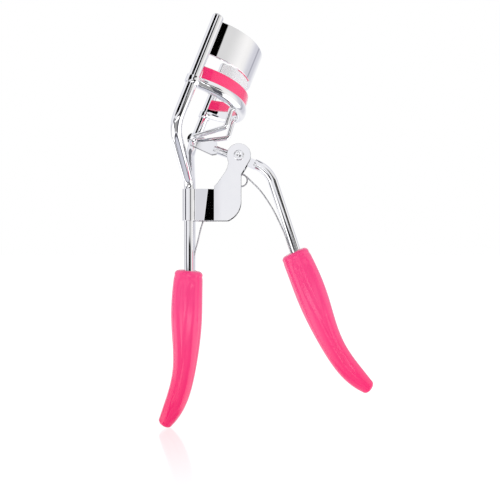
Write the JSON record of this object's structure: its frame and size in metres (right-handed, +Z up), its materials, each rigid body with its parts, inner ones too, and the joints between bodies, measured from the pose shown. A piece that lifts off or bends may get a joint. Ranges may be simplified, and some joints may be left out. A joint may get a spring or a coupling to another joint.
{
  "type": "eyelash curler",
  "caption": "Scissor-handled eyelash curler: a curved clamp plate on two posts, a sliding padded jaw driven by a link, a sprung lever and soft hand grips.",
  "frame": {"origin": "inside the fixed handle's grip, on the stem's line, 31.3 mm above the grip's tip, where the hand holds the tool", "axes": "+Z up along the fixed handle's stem, from the grips to the clamp; +X from the fixed handle to the moving one; +Y across the clamp, from the post nearer the front view to the far one"},
  "size_m": [0.0621, 0.0336, 0.1114],
  "materials": {
    "chrome_plate": "bright polished plating on steel",
    "spring_wire": "bright drawn wire",
    "grip_vinyl": "glossy soft dipped vinyl",
    "pad_silicone": "smooth satin silicone"
  },
  "bodies": {
    "frame": {"frame_rod_front": "chrome_plate", "frame_rod_back": "chrome_plate", "upper_jaw": "chrome_plate", "pivot_bracket": "chrome_plate", "pivot_rivet": "chrome_plate", "torsion_spring": "spring_wire", "left_grip": "grip_vinyl"},
    "lever": {"lever": "chrome_plate", "right_grip": "grip_vinyl", "spring_lever_leg": "spring_wire"},
    "jaw": {"lower_jaw": "chrome_plate", "lash_pad": "pad_silicone"},
    "link": {"drive_link": "chrome_plate"}
  },
  "joints": [
    {"name": "lever_hinge", "type": "hinge", "parent": "frame", "child": "lever", "pos_m": [0.01499, 0, 0.047], "axis": [0, 1, 0], "range_deg": [0, 12.31], "stiffness_Nm_per_rad": 0.01, "springref_deg": -91.67},
    {"name": "jaw_slide", "type": "slide", "parent": "frame", "child": "jaw", "axis": [0.3746, 0, 0.9272], "range_m": [0, 0.00315]},
    {"name": "link_hinge", "type": "hinge", "parent": "jaw", "child": "link", "pos_m": [0.01357, 0, 0.05914], "axis": [0, 1, 0], "range_deg": [-1.1, 0]}
  ],
  "couplings": [
    {"joint": "lever_hinge", "follows": "jaw_slide", "rad_per_m": 68.192},
    {"joint": "link_hinge", "follows": "jaw_slide", "rad_per_m": -5.6846}
  ]
}
